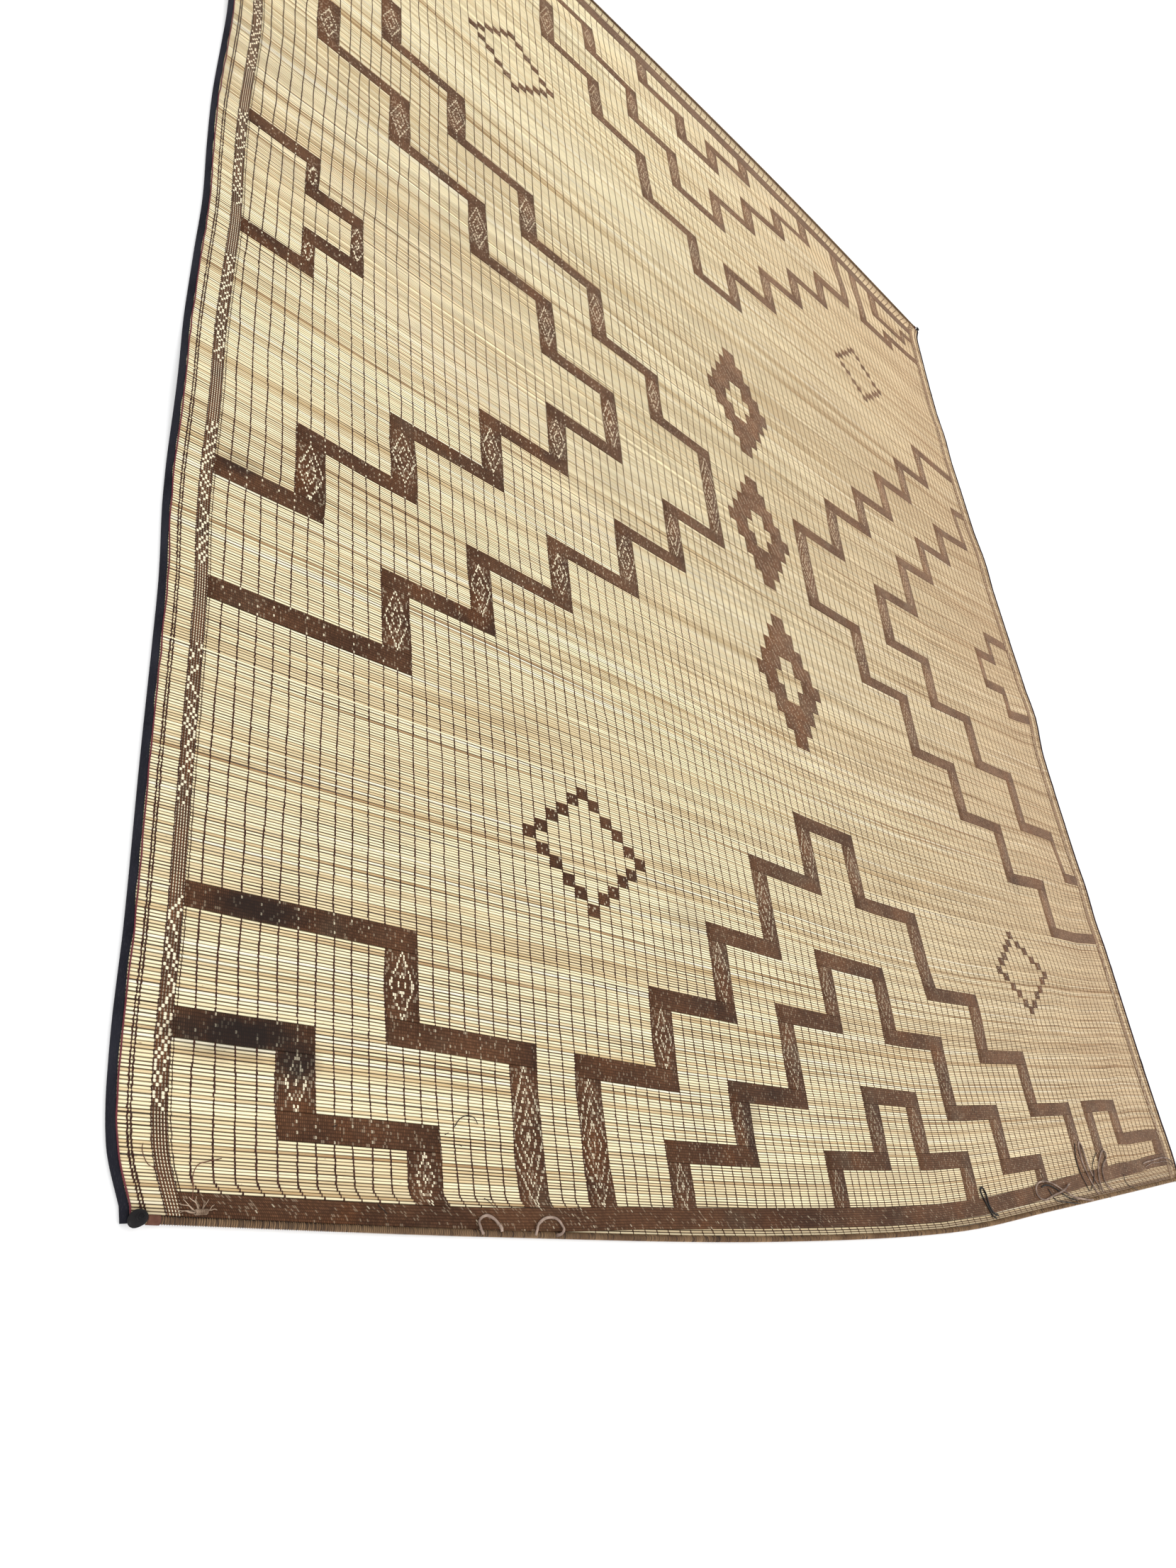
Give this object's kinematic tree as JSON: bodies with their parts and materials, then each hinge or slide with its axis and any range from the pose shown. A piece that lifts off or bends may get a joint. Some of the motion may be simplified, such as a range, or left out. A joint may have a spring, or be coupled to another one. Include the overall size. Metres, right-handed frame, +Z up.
{
  "type": "reed and leather tuareg floor mat",
  "caption": "Large floor mat of straw reeds bound with leather thongs, with stepped leather bands, dark cloth sides, whipped ends and loose leather ties, lying flat.",
  "frame": {"origin": "middle of the mat's footprint, on the floor it lies on", "axes": "+X along the reeds, +Y along the leather thongs, away from the end with the ties, +Z up, out of the patterned face"},
  "size_m": [2.551, 2.9242, 0.0122],
  "materials": {
    "reed": "dry split reed, pale straw with tan streaks",
    "brown_leather": "worn brown goat leather, matt",
    "black_leather": "black leather, slightly polished by wear",
    "edge_cloth": "blue-black cotton cloth, matt",
    "red_leather": "burgundy leather, matt"
  },
  "bodies": {
    "root": {"reed_panel": "reed", "edge_binding_left": "edge_cloth", "edge_binding_right": "edge_cloth", "edge_piping_left": "red_leather", "edge_piping_right": "red_leather", "end_roll_bottom": "brown_leather", "end_roll_top": "brown_leather", "corner_cap_bottom_left": "black_leather", "corner_cap_bottom_right": "black_leather", "corner_cap_top_left": "black_leather", "corner_cap_top_right": "black_leather", "frayed_lashing": "brown_leather", "tie_small_loop_1": "brown_leather", "tie_small_loop_2": "brown_leather", "tie_dark_loop": "brown_leather", "tie_knot_ring": "brown_leather", "tie_long_loop": "brown_leather", "tie_curl": "brown_leather", "tie_corner_end": "brown_leather"}
  },
  "joints": []
}
